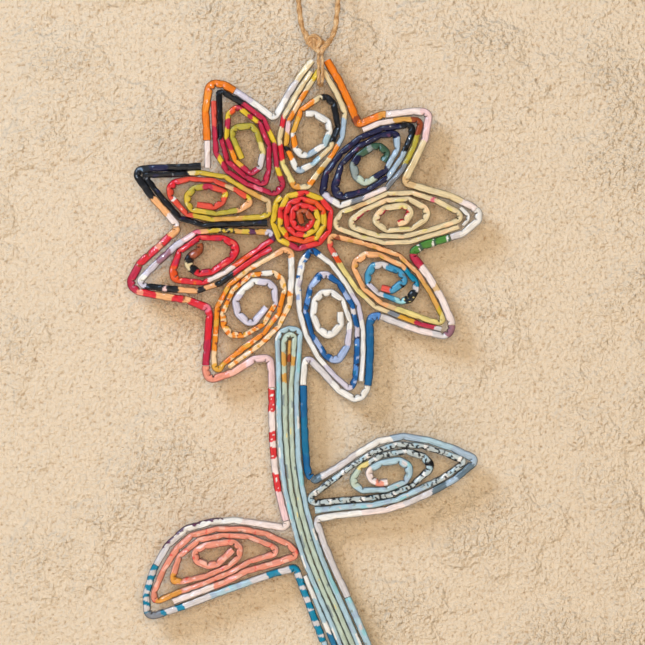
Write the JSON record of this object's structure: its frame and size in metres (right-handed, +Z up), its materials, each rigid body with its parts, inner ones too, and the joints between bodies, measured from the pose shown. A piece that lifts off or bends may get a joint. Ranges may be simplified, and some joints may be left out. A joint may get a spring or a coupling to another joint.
{
  "type": "hanging paper flower",
  "caption": "Flat hanging flower of rolled and folded paper strips set on edge, with petals, an outline band, a bent stem, two leaves and a jute hanging loop.",
  "frame": {"origin": "hang point, where the nail's top meets the underside of the cord loop, in the plane of the wall", "axes": "+Z up, +X to the right seen from the front, front towards -Y, backs of the strips on the wall plane y = 0"},
  "size_m": [0.1587, 0.0103, 0.3207],
  "materials": {
    "red_paper": "varnished printed paper",
    "cream_paper": "varnished printed paper",
    "crimson_paper": "varnished printed paper",
    "navy_paper": "varnished printed paper",
    "peach_paper": "varnished printed paper",
    "blue_paper": "varnished printed paper",
    "orange_paper": "varnished printed paper",
    "black_paper": "varnished printed paper",
    "grey_paper": "varnished printed paper",
    "salmon_paper": "varnished printed paper",
    "pale_blue_paper": "varnished printed paper",
    "pale_green_paper": "varnished printed paper",
    "brown_paper": "varnished printed paper",
    "white_paper": "varnished printed paper",
    "pink_paper": "varnished printed paper",
    "green_paper": "varnished printed paper",
    "teal_paper": "varnished printed paper",
    "jute_fibre": "matte twisted fibre"
  },
  "bodies": {
    "root": {"center_coil": "red_paper", "top_petal": "cream_paper", "crimson_petal": "crimson_paper", "navy_petal": "navy_paper", "cream_petal": "cream_paper", "peach_petal": "peach_paper", "blue_petal": "blue_paper", "orange_petal": "orange_paper", "red_petal": "red_paper", "black_petal": "black_paper", "right_leaf": "grey_paper", "left_leaf": "salmon_paper", "stem_outer": "pale_blue_paper", "stem_inner": "pale_green_paper", "stem_core": "brown_paper", "stem_side_strip": "pale_blue_paper", "band_white_short": "white_paper", "band_orange_left": "orange_paper", "band_white_dip": "white_paper", "band_orange_right": "orange_paper", "band_pale_peach": "pink_paper", "band_cream_tip": "white_paper", "band_green": "green_paper", "band_pink": "pink_paper", "band_mauve_foot": "crimson_paper", "band_blue_side": "blue_paper", "band_white_curl": "white_paper", "band_blue_stem": "blue_paper", "band_right_leaf": "white_paper", "band_stem_foot": "pale_blue_paper", "band_black_left": "black_paper", "band_red_left": "red_paper", "band_salmon_low": "pink_paper", "band_pink_stem": "pink_paper", "band_left_leaf": "white_paper", "band_teal_foot": "teal_paper", "band_pale_foot": "pale_blue_paper", "tip_inner_fold": "white_paper", "hanging_cord": "jute_fibre", "cord_knot": "jute_fibre", "cord_tie": "jute_fibre"}
  },
  "joints": []
}
